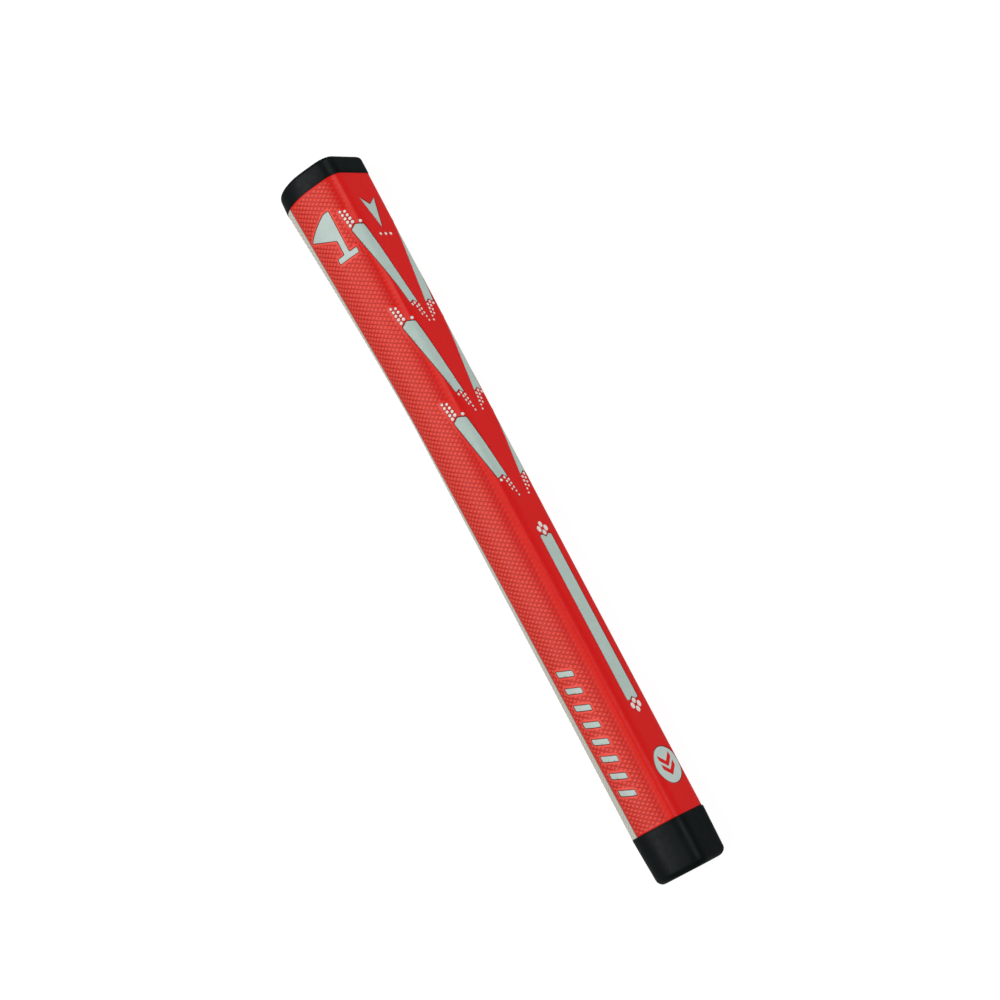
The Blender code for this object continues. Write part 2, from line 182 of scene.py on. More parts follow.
def outline_table(samples=1500):
    """Half the outline, from the front's middle line (0) to the back's (1), in parts of width and depth."""
    q = np.linspace(0.0, 1.0, samples + 1)
    end = side_across(CORNER_DEPTH)
    slope = SIDE_DROP * SIDE_POWER * (WIDEST_PART - CORNER_DEPTH) ** (SIDE_POWER - 1.0)
    meeting = end - slope * CORNER_DEPTH
    first = FLAT_PART + CORNER_PULL * (meeting - FLAT_PART)
    second = end + CORNER_PULL * (meeting - end)
    part = np.clip((q - FLAT_END) / (CORNER_END - FLAT_END), 0.0, 1.0)
    rest = 1.0 - part
    corner = (rest ** 3 * FLAT_PART + 3.0 * rest ** 2 * part * first
              + 3.0 * rest * part ** 2 * second + part ** 3 * end)
    corner_deep = CORNER_DEPTH * (3.0 * rest * part ** 2 * (1.0 - CORNER_PULL) + part ** 3)
    side_part = np.clip((q - CORNER_END) / (SIDE_END - CORNER_END), 0.0, 1.0)
    side_deep = CORNER_DEPTH + (WIDEST_PART - CORNER_DEPTH) * side_part
    back = np.clip((q - SIDE_END) / (1.0 - SIDE_END), 0.0, 1.0) * math.pi / 2.0
    rear = np.maximum(0.0, np.cos(back)) ** (2.0 / BACK_POWER)
    rear_deep = WIDEST_PART + (1.0 - WIDEST_PART) * np.sin(back) ** (2.0 / BACK_POWER)
    which = [q <= FLAT_END, q <= CORNER_END, q <= SIDE_END]
    across = np.select(which, [FLAT_PART * q / FLAT_END, corner, side_across(side_deep)], rear)
    deep = np.select(which, [0.0 * q, corner_deep, side_deep], rear_deep)
    return q, across, deep


Q, ACROSS, DEEP = outline_table()
TABLE_X = np.arange(0.0, LENGTH + 1.0)


def arcs_at(x):
    steps = np.hypot(np.diff(ACROSS) * width(x) / 2.0, np.diff(DEEP) * depth(x))
    return np.concatenate(((0.0,), np.cumsum(steps)))


ARCS = np.array([arcs_at(x) for x in TABLE_X])


def parameter(x, arc):
    """The outline parameter at each x and distance arc round the surface."""
    place = np.clip(x, 0.0, TABLE_X[-2])
    low = place.astype(int)
    q = np.zeros(len(x))
    for k in np.unique(low):
        here = low == k
        part = place[here] - k
        near = np.interp(arc[here], ARCS[k], Q)
        far = np.interp(arc[here], ARCS[k + 1], Q)
        q[here] = near * (1.0 - part) + far * part
    return q


def arc_of(x, q):
    """Distance round the surface at outline parameter q, for an array of x."""
    return np.interp(x, TABLE_X, np.array([np.interp(q, Q, row) for row in ARCS]))


def seam(x):
    """Distance round the surface from the front's middle line to the seam between the two skins."""
    return swell(x, *SEAM_REACH, 0.0)


def to_world(points):
    return points * MM + ORIGIN


def section_point(x, q, sign, height):
    across = np.interp(q, Q, ACROSS)
    deep = np.interp(q, Q, DEEP)
    y = deep * (depth(x) + 2.0 * height) - height
    z = sign * across * (width(x) / 2.0 + height)
    return np.stack((x, y, z), -1)


def on_front(points):
    """(x, w, height) measured from the front's middle line, to the row frame."""
    x, w, height = points.T
    return to_world(section_point(x, parameter(x, np.abs(w)), np.sign(w), height))


def on_back(points):
    """(x, v, height) with v measured from the back's middle line, to the row frame."""
    x, v, height = points.T
    w = arc_of(x, 1.0) - np.abs(v)
    return to_world(section_point(x, parameter(x, w), np.sign(v), height))


# ---------------- flat outlines

def resampled(loop, step, closed=True):
    loop = np.asarray(loop, float)
    if closed:
        loop = np.vstack((loop, loop[:1]))
    gone = np.concatenate(((0.0,), np.cumsum(np.hypot(*np.diff(loop, axis=0).T))))
    count = max(8 if closed else 2, int(round(gone[-1] / step)))
    at = np.linspace(0.0, gone[-1], count + 1)
    if closed:
        at = at[:-1]
    return np.stack((np.interp(at, gone, loop[:, 0]), np.interp(at, gone, loop[:, 1])), -1)


def counter_clockwise(loop):
    after = np.roll(loop, -1, 0)
    area = np.sum(loop[:, 0] * after[:, 1] - after[:, 0] * loop[:, 1])
    return loop if area > 0.0 else loop[::-1]


def shape(corners, step=0.3, rounding=2):
    """A closed outline with evenly spaced points and slightly rounded corners."""
    loop = counter_clockwise(resampled(corners, step))
    for _ in range(rounding):
        loop = loop * 0.5 + (np.roll(loop, 1, 0) + np.roll(loop, -1, 0)) * 0.25
    return loop


def mirrored(loop):
    return (loop * (1.0, -1.0))[::-1]


def grown(loop, distance):
    """The outline moved outwards; a negative distance moves it inwards."""
    before = loop - np.roll(loop, 1, 0)
    after = np.roll(loop, -1, 0) - loop
    before /= np.maximum(np.hypot(*before.T), TINY)[:, None]
    after /= np.maximum(np.hypot(*after.T), TINY)[:, None]
    outward = np.stack((before[:, 1] + after[:, 1], -before[:, 0] - after[:, 0]), -1)
    outward /= np.maximum(np.hypot(*outward.T), TINY)[:, None]
    square = outward[:, 0] * after[:, 1] - outward[:, 1] * after[:, 0]
    return loop + outward * (distance / np.maximum(square, MITRE_LIMIT))[:, None]


def inside(points, loop):
    x, y = points.T
    hit = np.zeros(len(points), bool)
    near = np.all((points >= loop.min(0)) & (points <= loop.max(0)), axis=1)
    x, y = x[near], y[near]
    found = np.zeros(len(x), bool)
    for (ax, ay), (bx, by) in zip(loop, np.roll(loop, -1, 0)):
        if ay != by:
            found ^= ((ay > y) != (by > y)) & (x < (bx - ax) * (y - ay) / (by - ay) + ax)
    hit[near] = found
    return hit


def grid_inside(loop, step):
    low = loop.min(0)
    high = loop.max(0)
    xs = np.arange(low[0] + step[0] / 2.0, high[0], step[0])
    ws = np.arange(low[1] + step[1] / 2.0, high[1], step[1])
    points = np.stack(np.meshgrid(xs, ws, indexing="ij"), -1).reshape(-1, 2)
    return points[inside(points, grown(loop, -FILL_CLEARANCE * min(step)))]


def triangles(points, edges):
    """Triangles over the points that keep the given edges, as indices into points."""
    result = delaunay_2d_cdt([Vector(p) for p in points], edges, [], 0, SAME_POINT)
    origin = [ids[0] if ids else None for ids in result[3]]
    faces = [[origin[v] for v in face] for face in result[2]]
    return np.array([face for face in faces if None not in face])


def covered(points, faces, loops, edges):
    """Which triangles lie inside the first loop and outside the others.

    A triangle on an edge of a loop is judged by its direction along that edge."""
    middles = points[faces].mean(1)
    keep = inside(middles, loops[0])
    for loop in loops[1:]:
        keep &= ~inside(middles, loop)
    ways = dict.fromkeys(edges, True)
    ways.update(dict.fromkeys([(b, a) for a, b in edges], False))
    for k, (a, b, c) in enumerate(faces.tolist()):
        for edge in ((a, b), (b, c), (c, a)):
            keep[k] = ways.get(edge, keep[k])
    return keep


def nearest_finder(loops, spacing):
    """The points along some outlines, and a tree that finds the nearest of them."""
    samples = np.vstack([resampled(loop, spacing) for loop in loops])
    tree = kdtree.KDTree(len(samples))
    for k, (x, w) in enumerate(samples):
        tree.insert((x, w, 0.0), k)
    tree.balance()
    return samples, tree


# ---------------- meshes

class Solid:
    """Collects vertices in (x, w, height) and faces, and makes one mesh object of them."""

    def __init__(self):
        self.points = []
        self.faces = []
        self.count = 0

    def add(self, flat, height):
        flat = np.asarray(flat, float)
        heights = np.broadcast_to(np.asarray(height, float), (len(flat),))
        self.points.append(np.column_stack((flat, heights)))
        self.count += len(flat)
        return list(range(self.count - len(flat), self.count))

    def bridge(self, ring, after):
        for k in range(len(ring)):
            n = (k + 1) % len(ring)
            self.faces.append((ring[k], ring[n], after[n], after[k]))

    def fill(self, loop, ring, height, step, up):
        """Closes a ring of vertices with triangles that follow the surface."""
        inner = grid_inside(loop, step)
        points = np.vstack((loop, inner))
        ids = ring + self.add(inner, height)
        count = len(loop)
        edges = [(k, (k + 1) % count) for k in range(count)]
        faces = triangles(points, edges)
        for face in faces[covered(points, faces, [loop], edges)]:
            corners = [ids[v] for v in face]
            self.faces.append(corners if up else corners[::-1])

    def make(self, name, place, look, replaced=(), attributes=None, sharp=PAINT_SHARP):
        data = bpy.data.meshes.new(name)
        flat = np.vstack(self.points)
        data.from_pydata(place(flat).tolist(), [], [tuple(int(v) for v in f) for f in self.faces])
        for key, values in (attributes(flat) if attributes else {}).items():
            data.attributes.new(key, "FLOAT", "POINT").data.foreach_set("value", values.astype(np.float32))
        return finished(name, data, look, replaced, sharp)


def finished(name, data, look, replaced, sharp):
    data.validate()
    data.shade_smooth()
    data.set_sharp_from_angle(angle=math.radians(sharp))
    made = bpy.data.objects.new(name, data)
    made.data.materials.append(look)
    bpy.context.scene.collection.objects.link(made)
    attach(made, "root")
    if replaced:
        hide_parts(*replaced)
    return made


# ---------------- the printed shapes

CHEVRONS = (                     # head x, tail x, then inner and outer lines at the head and at the tail
    (240.0, 208.8, 9.0, 14.1, 2.3, 7.2),
    (202.0, 174.0, 8.8, 14.2, 3.1, 8.1),
    (165.0, 141.6, 8.8, 13.9, 4.0, 9.2),
)
HEAD_PROFILE = ((0.0, 0.0), (0.3, 0.55), (0.62, 1.15), (0.78, 0.35), (0.9, 0.15), (1.0, -0.25))
TAIL_PROFILE = ((0.0, -0.35), (0.2, -0.1), (0.5, 0.95), (0.8, 0.1), (1.0, -0.1))
STRIPE_RANGE = (57.2, 119.4)
STRIPE_HALF_WIDTH = 3.6
STRIPE_PROFILE = ((-1.0, -0.5), (-0.55, -0.1), (0.0, -1.3), (0.55, -0.1), (1.0, -0.5))
EMBLEM_CENTRE = 33.5
EMBLEM_RADII = (6.5, 7.3)
BADGE_RANGE = (238.0, 250.0)
BADGE_HALF_WIDTH = 4.3
BADGE_NOTCH = 2.6
FLAG_FOOT = 232.0
FLAG_TOP = 250.0
FLAG_ARC = 19.5
FLAG_POLE = 2.3
FLAG_BASE = (2.1, 8.6)
FLAG_CLOTH = (10.5, 10.8)
BAR_COUNT = 8
BAR_START = 29.0
BAR_PITCH = 6.2
BAR_WIDTH = 2.2
BAR_ARCS = (17.4, 23.8)
BAR_SLANT = 0.35
LIGHT_MARKS = ("side_", "round_emblem")      # names, or how they start, of the marks in the lighter paint

DOT_STEP = 1.5
DOT_GAP = 0.12                   # open ring round a dot
DOT_SIDES = 14
HEAD_SLOPE = 0.17                # how rows of dots lean away from the middle line
TAIL_SLOPE = 0.22
HEAD_DOTS = (                    # past the head, which line, away from it, dots, first and last radius
    (1.3, 0, 0.8, 1, 0.62, 0.62),
    (2.1, 1, -1.7, 4, 0.62, 0.52),
    (1.3, 1, -0.35, 5, 0.62, 0.52),
)
TAIL_DOTS = (
    (-1.25, 0, 0.45, 5, 0.56, 0.42),
    (-0.3, 0, 2.3, 4, 0.58, 0.44),
    (-0.9, 1, -0.9, 1, 0.55, 0.55),
)
STRIPE_DOTS = (                  # past the stripe's end, w, radius along, radius round
    (0.3, 0.0, 0.95, 1.1),
    (1.75, 2.1, 1.15, 1.15),
    (1.75, -2.1, 1.15, 1.15),
    (3.3, 0.0, 1.1, 1.1),
)
BADGE_DOTS = (235.6, 3.0, 0.55, 0.7)         # x, spacing, radius along, radius round


def chevron_arm(head, tail, head_inner, head_outer, tail_inner, tail_outer):
    def at(end, across, extra):
        along, inner, outer = end
        return along + extra, inner + (outer - inner) * across

    front = (head, head_inner, head_outer)
    rear = (tail, tail_inner, tail_outer)
    corners = [at(front, across, extra) for across, extra in HEAD_PROFILE]
    corners += [at(rear, across, extra) for across, extra in reversed(TAIL_PROFILE)]
    return shape(corners)


def rows_of_dots(rows, x, lines, step, slope):
    """Round dots in rows at one end of an arm, as (x, w, radius along, radius round)."""
    dots = []
    for past, line, across, count, first, last in rows:
        for k, radius in enumerate(np.linspace(first, last, count)):
            dots.append((x + past + step * k, lines[line] + across + slope * step * k, radius, radius))
    return dots


def chevron_dots(head, tail, head_inner, head_outer, tail_inner, tail_outer):
    dots = rows_of_dots(HEAD_DOTS, head, (head_inner, head_outer), DOT_STEP, HEAD_SLOPE)
    return dots + rows_of_dots(TAIL_DOTS, tail, (tail_inner, tail_outer), -DOT_STEP, TAIL_SLOPE)


def stripe_shape():
    start, end = STRIPE_RANGE
    corners = [(end + extra, STRIPE_HALF_WIDTH * across) for across, extra in STRIPE_PROFILE]
    corners += [(start - extra, STRIPE_HALF_WIDTH * across) for across, extra in reversed(STRIPE_PROFILE)]
    return shape(corners)


def ellipse(centre, radii, count=56):
    turns = np.arange(count) * 2.0 * math.pi / count
    return np.stack((centre[0] + radii[0] * np.cos(turns), centre[1] + radii[1] * np.sin(turns)), -1)


def flag_shape():
    low = FLAG_ARC - FLAG_POLE / 2.0
    high = FLAG_ARC + FLAG_POLE / 2.0
    base_low = FLAG_ARC - FLAG_BASE[1] / 2.0
    base_high = FLAG_ARC + FLAG_BASE[1] / 2.0
    pole_foot = FLAG_FOOT + FLAG_BASE[0]
    cloth, cloth_width = FLAG_CLOTH
    corners = [(FLAG_FOOT, base_low), (pole_foot, base_low), (pole_foot, low), (FLAG_TOP, low),
               (FLAG_TOP, high), (FLAG_TOP - cloth / 2.0, high + cloth_width), (FLAG_TOP - cloth, high),
               (pole_foot, high), (pole_foot, base_high), (FLAG_FOOT, base_high)]
    return shape(corners, rounding=1)


def bar_shape(number):
    low, high = BAR_ARCS
    foot = BAR_START + BAR_PITCH * number
    rise = BAR_SLANT * (high - low)
    return shape([(foot, low), (foot + BAR_WIDTH, low), (foot + BAR_WIDTH + rise, high), (foot + rise, high)])


def badge_shape():
    start, end = BADGE_RANGE
    half = BADGE_HALF_WIDTH
    return shape([(start, 0.0), (end, -half), (end - BADGE_NOTCH, 0.0), (end, half)])


def plain_chevron(tip, lean, thickness, half):
    """A chevron that points towards smaller x, with its point at (tip, 0)."""
    corners = ((tip, 0.0), (tip + lean, half), (tip + lean + thickness, half), (tip + thickness, 0.0),
               (tip + lean + thickness, -half), (tip + lean, -half))
    return shape(corners, rounding=1)


def printed_shapes():
    """Every paint-filled shape: its CAD node's name, its outline and its dots.

    A dot is (x, w, radius along, radius round)."""
    found = []
    for number, sizes in enumerate(CHEVRONS, 1):
        arm = chevron_arm(*sizes)
        dots = chevron_dots(*sizes)
        found.append((f"chevron_{number}_upper", arm, dots))
        found.append((f"chevron_{number}_lower", mirrored(arm), [(x, -w, a, b) for x, w, a, b in dots]))
    start, end = STRIPE_RANGE
    dots = [(end + past, w, along, around) for past, w, along, around in STRIPE_DOTS]
    dots += [(start - past, w, along, around) for past, w, along, around in STRIPE_DOTS]
    found.append(("alignment_stripe", stripe_shape(), dots))
    found.append(("round_emblem", ellipse((EMBLEM_CENTRE, 0.0), EMBLEM_RADII), []))
    x, spacing, along, around = BADGE_DOTS
    found.append(("front_badge", badge_shape(), [(x, spacing * k, along, around) for k in (-1, 0, 1)]))
    for side, turn in (("upper", lambda loop: loop), ("lower", mirrored)):
        found.append((f"side_flag_{side}", turn(flag_shape()), []))
        for number in range(BAR_COUNT):
            found.append((f"side_bar_{number + 1}_{side}", turn(bar_shape(number)), []))
    return found


# ---------------- skin

def knurl(x, w):
    """How far a point lies into the grooves between the diamonds, 0 on a diamond's top and 1 in a groove."""
    deepest = np.zeros(len(x))
    for way in (1.0, -1.0):
        phase = x / DIAMOND_ALONG + way * w / DIAMOND_AROUND
        deepest = np.maximum(deepest, ((1.0 + np.cos(2.0 * math.pi * phase)) / 2.0) ** GROOVE_SHARPNESS)
    return deepest


def eased(value, low, high):
    part = np.clip((value - low) / (high - low), 0.0, 1.0)
    return part * part * (3.0 - 2.0 * part)


def grown_by(value, band):
    low, high, change = band
    return change * eased(value, low, high)


def painted_sheen(points):
    """How much painted light the front panel's diamonds take: a painted highlight along the corner, a darker
    band after it, then painted sheen over the side.
    """
    around = np.abs(points[:, 1])
    nearer = around + TIP_REACH * (1.0 - eased(points[:, 0], *TIP_RANGE))
    return grown_by(around, CORNER_HIGHLIGHT) - grown_by(around, CORNER_DARK_BAND) + grown_by(nearer, SIDE_SHEEN)


class Lattice:
    """Cells of the knurled skin; the flat part, if there is one, has larger cells."""

    def __init__(self, flat_columns):
        self.flat = flat_columns

    def cell(self, points):
        """For each point, its cell as first row, first column, rows and columns."""
        i = np.floor(points[:, 0] / STEP_ALONG).astype(int)
        j = np.floor(points[:, 1] / STEP_AROUND).astype(int)
        coarse = (j >= -self.flat) & (j < self.flat)
        rows = np.where(coarse, FLAT_ROWS, 1)
        columns = np.where(coarse, FLAT_STEP, 1)
        first = np.where(coarse, i // FLAT_ROWS * FLAT_ROWS, i)
        left = np.where(coarse, (j + self.flat) // FLAT_STEP * FLAT_STEP - self.flat, j)
        return np.stack((first, left, rows, columns), -1)

    def loop(self, cell):
        """The lattice nodes round a cell, counter-clockwise."""
        i, j, rows, columns = cell
        low = [(i, j), (i + rows, j)]
        high = [(i + rows, j + columns), (i, j + columns)]
        if rows > 1 and j == -self.flat:
            low = [(i + k, j) for k in range(rows + 1)]
        if rows > 1 and j + columns == self.flat:
            high = [(i + k, j + columns) for k in range(rows, -1, -1)]
        return low + high


def node_place(nodes):
    return np.array(nodes, float) * (STEP_ALONG, STEP_AROUND)


def skin_top(solid, lattice, border, holes):
    """Covers the inside of border, except the holes, with lattice cells and a fitted band along each outline.

    Returns the vertex rings of the border and of each hole."""
    loops = [border] + holes
    samples, tree = nearest_finder(loops, OUTLINE_SAMPLE)
    shifted = [samples + (BAND_REACH * a, BAND_REACH * b) for a in (-1, 0, 1) for b in (-1, 0, 1)]
    cut = set(map(tuple, np.unique(lattice.cell(np.vstack(shifted)), axis=0).tolist()))

    low, high = border.min(0), border.max(0)
    xs = np.arange(low[0] - BORDER_MARGIN, high[0] + BORDER_MARGIN, STEP_ALONG)
    ws = np.arange(low[1] - BORDER_MARGIN, high[1] + BORDER_MARGIN, STEP_AROUND)
    everywhere = np.stack(np.meshgrid(xs, ws, indexing="ij"), -1).reshape(-1, 2)
    cells = np.unique(lattice.cell(everywhere), axis=0)
    middles = (cells[:, :2] + cells[:, 2:] / 2.0) * (STEP_ALONG, STEP_AROUND)
    keep = inside(middles, border)
    for hole in holes:
        keep &= ~inside(middles, hole)
    plain = [cell for cell in map(tuple, cells[keep].tolist()) if cell not in cut]

    uses = {}
    for cell in cut:
        loop = lattice.loop(cell)
        for a, b in zip(loop, loop[1:] + loop[:1]):
            edge = (min(a, b), max(a, b))
            uses[edge] = uses.get(edge, 0) + 1
    rim = sorted(edge for edge, count in uses.items() if count == 1)
    rim_nodes = {node for edge in rim for node in edge}
    cut_nodes = sorted({node for edge in uses for node in edge})
    places = node_place(cut_nodes)
    band = [node for node, (x, w) in zip(cut_nodes, places)
            if node in rim_nodes or tree.find((x, w, 0.0))[2] > NODE_CLEARANCE]

    plain_loops = [lattice.loop(cell) for cell in plain]
    nodes = sorted({node for loop in plain_loops for node in loop} | set(band))
    ids = dict(zip(nodes, solid.add(node_place(nodes), 0.0)))
    solid.faces += [tuple(ids[node] for node in loop) for loop in plain_loops]

    points = [node_place(band)]
    index = {node: k for k, node in enumerate(band)}
    vertices = [ids[node] for node in band]
    edges = [(index[a], index[b]) for a, b in rim]
    rings = []
    outlines = []
    for loop in loops:
        ring = solid.add(loop, 0.0)
        rings.append(ring)
        places = [len(vertices) + k for k in range(len(loop))]
        way = 1 if loop is border else -1
        outlines += [(a, b)[::way] for a, b in zip(places, places[1:] + places[:1])]
        points.append(loop)
        vertices += ring
    points = np.vstack(points)
    faces = triangles(points, edges + outlines)
    keep = covered(points, faces, loops, outlines)
    middles = points[faces].mean(1)
    keep &= np.array([tuple(cell) in cut for cell in lattice.cell(middles).tolist()])
    solid.faces += [tuple(vertices[v] for v in face) for face in faces[keep]]
    return rings


ROLL_OUT = 0.38                  # a skin panel's rolled edge reaches this far outside its top
ROLL_RINGS = ((0.16, -0.03), (0.29, -0.11), (0.36, -0.25), (ROLL_OUT, -SKIN))      # outwards, height
POCKET_RINGS = ((-0.065, -0.03), (-0.085, -0.09), (-0.09, -0.46))
POCKET_GROW = 0.16               # how much larger than its mark a pocket is at the top
DOT_POCKET = -0.22
ROLL_SHADE = 0.6                 # how much of the pockets' painted shade the rolled edge and its underside take


def rolled_edge(solid, loop, ring):
    """The rounded edge outside a panel's border, its side and its underside."""
    last = ring
    for out, height in ROLL_RINGS:
        outer = grown(loop, out)
        after = solid.add(outer, height)
        solid.bridge(after, last)
        last = after
    solid.fill(outer, last, ROLL_RINGS[-1][1], UNDERSIDE_STEP, False)


def pocket(solid, loop, ring):
    """The rounded edge, wall and floor of a hollow whose outline is already part of the skin."""
    last = ring
    for out, height in POCKET_RINGS:
        lower = grown(loop, out)
        after = solid.add(lower, height)
        solid.bridge(last, after)
        last = after
    solid.fill(lower, last, POCKET_RINGS[-1][1], POCKET_STEP, True)


def dot_pocket(solid, loop, ring):
    """The wall and floor of the small hollow round a dot."""
    floor = solid.add(loop, DOT_POCKET)
    solid.bridge(ring, floor)
    solid.faces.append(tuple(floor))


def panel_border(edge_arc, shorten, step):
    """The border of a skin panel between two mirrored edges."""
    start = SKIN_START + shorten
    end = SKIN_END - shorten
    xs = np.linspace(start, end, int((end - start) / step) + 1)
    upper = np.stack((xs, edge_arc(xs) - shorten), -1)
    corners = [upper[0] * (1, -1)] + [upper[0]]
    tip_end = resampled(corners, step, closed=False)[1:-1]
    butt_end = resampled([upper[-1], upper[-1] * (1, -1)], step, closed=False)[1:-1]
    loop = np.vstack((tip_end, upper, butt_end, (upper * (1, -1))[::-1]))
    return counter_clockwise(loop)


def relief(flat_front, printed):
    """A function of points that gives how strong the knurl is at each of them."""
    tree = nearest_finder(printed, RELIEF_SAMPLE)[1] if printed else None

    def strength(points):
        x, w = points[:, 0], points[:, 1]
        around = np.abs(w)
        if flat_front:
            power = grown_by(around, CORNER_RELIEF) + grown_by(around, SIDE_RELIEF)
        else:
            power = np.full(len(x), BACK_RELIEF)
        if tree:
            for k in np.nonzero(power > 0.0)[0]:
                power[k] *= eased(tree.find((x[k], w[k], 0.0))[2], *MARK_FADE)
        return power

    return strength


def make_panel(name, place, look, edge_arc, lattice, shapes, dots, flat_front):
    solid = Solid()
    border = panel_border(edge_arc, ROLL_OUT, BORDER_STEP)
    holes = [grown(loop, POCKET_GROW) for loop in shapes]
    pits = [ellipse((x, w), (along + DOT_GAP, around + DOT_GAP), DOT_SIDES)
            for x, w, along, around in dots]
    rings = skin_top(solid, lattice, border, holes + pits)
    top_count = solid.count
    for hole, ring in zip(holes, rings[1:]):
        pocket(solid, hole, ring)
    for hole, ring in zip(pits, rings[len(holes) + 1:]):
        dot_pocket(solid, hole, ring)
    pocket_count = solid.count
    rolled_edge(solid, border, rings[0])
    strength = relief(flat_front, holes + pits)
    flat = np.vstack(solid.points)
    top = flat[:top_count]
    power = strength(top)
    rim_fade = eased(edge_arc(top[:, 0]) - np.abs(top[:, 1]), *RIM_FADE)
    rim_fade *= eased(np.minimum(top[:, 0] - SKIN_START, SKIN_END - top[:, 0]), *RIM_FADE)
    power *= rim_fade
    groove = knurl(top[:, 0], top[:, 1]) * power
    flat[:top_count, 2] -= KNURL_DEPTH * groove
    solid.points = [flat]

    def attributes(points):
        # knurl carries how much painted sheen the diamonds take: on the front the painted highlight, darker
        # band and side sheen, on the back strip its relief strength
        found = {"groove": groove, "knurl": rim_fade * (painted_sheen(top) if flat_front else power)}
        for key, values in found.items():
            found[key] = np.concatenate((values, np.zeros(len(points) - top_count)))
        # painted shade: full in the pockets, part of it on the rolled edge and its underside
        found["pit"] = np.zeros(len(points))
        found["pit"][top_count:pocket_count] = 1.0
        found["pit"][pocket_count:] = ROLL_SHADE
        return found

    solid.make(name, place, look, (name,), attributes, SKIN_SHARP)


# ---------------- paint

DOT_RINGS = ((1.0, -0.21), (1.0, -0.03), (0.88, 0.045), (0.6, 0.09), (0.25, 0.11))   # part of radius, height
PAINT_INSET = 0.1                # open line between a fill and its pocket's nominal outline
PAINT_RINGS = ((0.0, -0.4), (0.0, -0.115), (-0.035, -0.07), (-0.11, -0.05))          # outwards, height
EMBLEM_MARK_TIPS = (-3.8, -0.7)              # the chevrons' points, along the grip from the disc's centre
EMBLEM_CHEVRON = (2.8, 1.9, 3.9)             # lean, thickness and half the width
EMBLEM_MARK_RINGS = ((0.0, -0.3), (0.0, -0.03), (-0.03, 0.0), (-0.1, 0.015))


def add_dot(solid, x, w, along, around):
    rings = []
    for part, height in DOT_RINGS:
        rings.append(solid.add(ellipse((x, w), (along * part, around * part), DOT_SIDES), height))
    for ring, after in zip(rings, rings[1:]):
        solid.bridge(ring, after)
    solid.faces.append(tuple(rings[-1]))
    solid.faces.append(tuple(reversed(rings[0])))


def plate(solid, outline, rings):
    """A thin plate with an eased upper edge; rings runs from its underside to its top."""
    ids = []
    for out, height in rings:
        loop = grown(outline, out)
        ids.append(solid.add(loop, height))
    for ring, after in zip(ids, ids[1:]):
        solid.bridge(ring, after)
    solid.fill(grown(outline, rings[0][0]), ids[0], rings[0][1], PLATE_UNDERSIDE_STEP, False)
    solid.fill(loop, ids[-1], rings[-1][1], PLATE_STEP, True)


def make_paint(shapes, looks):
    for name, loop, dots in shapes:
        solid = Solid()
        plate(solid, grown(loop, -PAINT_INSET), PAINT_RINGS)
        look = looks["light" if name.startswith(LIGHT_MARKS) else "paint"]
        solid.make(name, on_front, look, (name,))
        if dots:
            pips = Solid()
            for dot in dots:
                add_dot(pips, *dot)
            pips.make(name + "_dots", on_front, looks["dots"])


def make_emblem_mark(look):
    """Two plain chevrons on the disc near the tip."""
    solid = Solid()
    for tip in EMBLEM_MARK_TIPS:
        plate(solid, plain_chevron(EMBLEM_CENTRE + tip, *EMBLEM_CHEVRON), EMBLEM_MARK_RINGS)
    solid.make("emblem_mark", on_front, look)


# ---------------- caps

AROUND = 160                     # points in one turn
EDGE_RINGS = 9
TIP_RINGS = 9
BUTT_RINGS = 4
FACE_PARTS = (0.2, 0.4, 0.6, 0.8)            # rings of the butt's face, from the vent out to the ring
SHAFT_MOUTH = ((0.45, 0.0), (0.12, 0.12), (0.0, 0.45))      # the opening's eased edge: depth, widening
VENT_MOUTH = ((0.5, 0.0), (0.15, 0.12), (0.0, 0.4))
EASE = 0.12                      # small bevels beside the ring
RING_EASE = 0.1
RING_TOP = 0.06                  # the ring lies this far below the rim
RING_FLOOR_GAP = 0.1
TIP_LIP_SLOPE = 0.25             # length over which a lip thins out
BUTT_LIP_SLOPE = 0.2
LIP_DROP = 0.04
CAP_MARK_TIPS = (-7.2, 3.4)                  # the chevrons' points, across the face from the bore's axis
CAP_CHEVRON = (2.6, 1.8, 4.2)                # lean, thickness and half the width
CAP_MARK_RINGS = ((0.0, -0.2), (0.0, 0.04), (-0.05, 0.08), (-0.12, 0.09))


def ring_parameters():
    """Evenly spaced outline parameters and sides for one turn, from the back round the upper side."""
    arcs = arcs_at(LENGTH / 2.0)
    turn = np.arange(AROUND) / AROUND * 2.0
    upper = turn <= 1.0
    part = np.where(upper, 1.0 - turn, turn - 1.0)
    return np.interp(part * arcs[-1], arcs, Q), np.where(upper, 1.0, -1.0)


RING_Q, RING_SIGN = ring_parameters()


def section(x, height):
    return section_point(np.full(AROUND, float(x)), RING_Q, RING_SIGN, height)


def circle(x, radius):
    ring = section(LENGTH / 2.0, 0.0)
    y = ring[:, 1] - SHAFT_DEPTH
    away = np.hypot(y, ring[:, 2])
    xs = np.full(AROUND, float(x))
    return np.stack((xs, SHAFT_DEPTH + y * radius / away, ring[:, 2] * radius / away), -1)


def between(ring, after, part):
    return ring * (1.0 - part) + after * part


def drawn_in(x, height, sunk, taper, reached):
    """A section of a cap; reached is the part of the taper that is reached at x."""
    back = np.clip((RING_Q - BACK_RANGE[0]) / (BACK_RANGE[1] - BACK_RANGE[0]), 0.0, 1.0)
    return section(x, height - sunk * back - reached * (taper[0] + (taper[1] - taper[0]) * back))


def tip_section(x, height):
    return drawn_in(x, height, TIP_SUNK, TIP_TAPER, 1.0 - x / TIP_BAND)


def butt_section(x, height):
    return drawn_in(x, height, BUTT_SUNK, BUTT_TAPER, 1.0 - (LENGTH - x) / BUTT_BAND)


